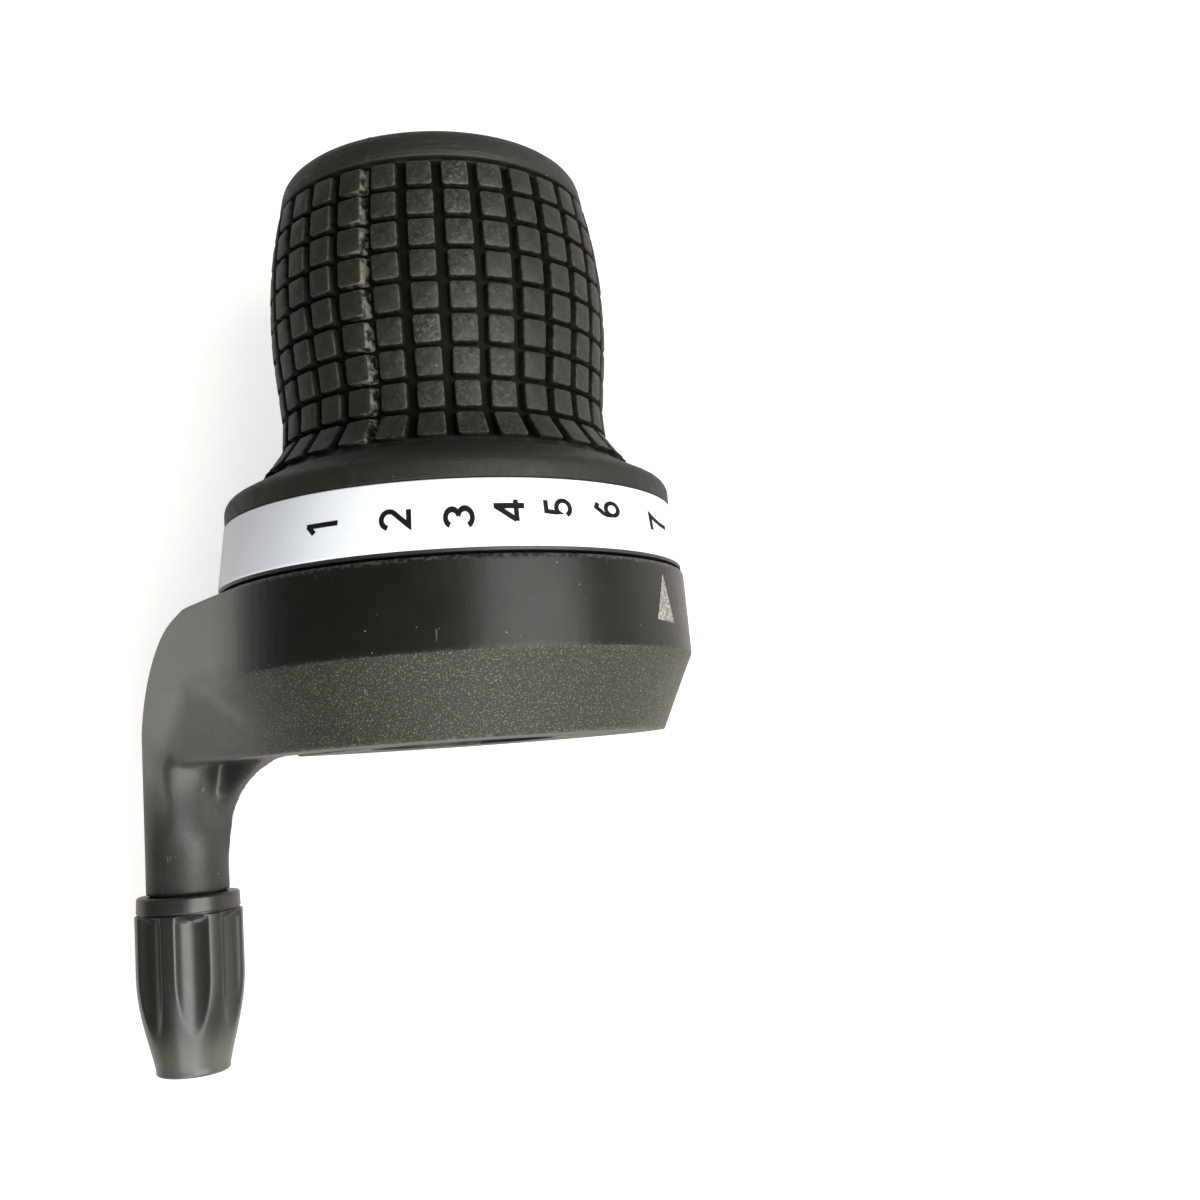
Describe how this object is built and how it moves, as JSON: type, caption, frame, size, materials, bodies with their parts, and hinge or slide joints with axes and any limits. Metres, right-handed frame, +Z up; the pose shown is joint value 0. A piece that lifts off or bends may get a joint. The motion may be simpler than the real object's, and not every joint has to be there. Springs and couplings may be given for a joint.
{
  "type": "twist grip shifter",
  "caption": "Right-hand twist grip gear shifter: block-patterned rubber barrel, white numbered ring and round clamp housing with a side arm and fluted cable adjuster.",
  "frame": {"origin": "on the handlebar bore axis, at the housing's inboard end face", "axes": "+Y along the bar, outboard; +X towards the rider; +Z up, the side that carries the pointer and the dial numbers"},
  "size_m": [0.0724, 0.108, 0.056],
  "materials": {
    "housing_plastic": "satin",
    "grip_rubber": "matte",
    "dial_plastic": "glossy",
    "inner_plastic": "satin",
    "knob_plastic": "glossy",
    "steel": "satin",
    "washer_plastic": "matte",
    "insert_brass": "satin",
    "bolt_aluminium": "satin"
  },
  "bodies": {
    "housing": {"housing_shell": "housing_plastic", "base_sleeve": "inner_plastic", "base_screws": "steel", "clamp_band": "steel", "clamp_screw": "steel", "clamp_nut": "steel", "detent_spring": "steel", "thrust_washer": "washer_plastic", "retaining_ring": "steel", "end_washer": "housing_plastic", "cable_cover": "housing_plastic", "cover_screw": "steel", "thread_insert": "insert_brass"},
    "grip": {"drum": "inner_plastic", "indicator_ring": "dial_plastic", "rubber_grip": "grip_rubber"},
    "knob": {"adjuster_knob": "knob_plastic", "adjuster_spring": "steel"},
    "bolt": {"adjuster_bolt": "bolt_aluminium"}
  },
  "joints": [
    {"name": "grip_twist", "type": "hinge", "parent": "housing", "child": "grip", "pos_m": [0, 0.04, 0], "axis": [0, 1, 0], "range_deg": [0, 85.5], "deforming": ["detent_spring"]},
    {"name": "adjuster_turn", "type": "hinge", "parent": "housing", "child": "knob", "pos_m": [-0.03782, -0.025, -0.01309], "axis": [0, -1, 0], "range_deg": [0, 1440]},
    {"name": "adjuster_travel", "type": "slide", "parent": "knob", "child": "bolt", "axis": [0, -1, 0], "range_m": [0, 0.0032], "deforming": ["adjuster_spring"]}
  ],
  "couplings": [
    {"joint": "adjuster_turn", "follows": "adjuster_travel", "rad_per_m": 7854}
  ]
}
